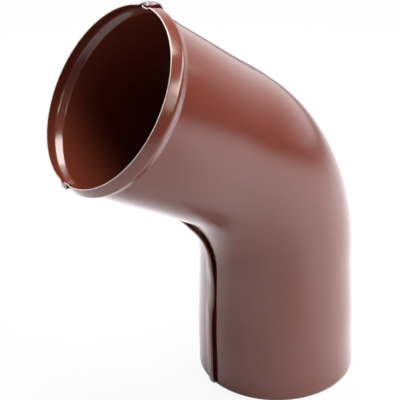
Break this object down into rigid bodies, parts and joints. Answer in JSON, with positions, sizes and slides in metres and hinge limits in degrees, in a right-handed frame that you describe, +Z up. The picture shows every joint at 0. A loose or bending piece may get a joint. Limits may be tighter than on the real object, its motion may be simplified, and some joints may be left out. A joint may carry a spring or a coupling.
{
  "type": "downspout outlet elbow",
  "caption": "Round sheet-steel downspout elbow of seamed half shells: a plain end slides over the pipe and a beaded mouth throws the water clear.",
  "frame": {"origin": "centre of the plain end, in the plane of its rim", "axes": "+Z up the inlet leg from the plain end into the bend; the mouth looks to -X and up; +Y is the left half"},
  "size_m": [0.1941, 0.1062, 0.2536],
  "materials": {
    "coated_sheet": "semi-gloss red-brown coating on steel sheet"
  },
  "bodies": {
    "root": {"left_half_shell": "coated_sheet", "right_half_shell": "coated_sheet"}
  },
  "joints": []
}
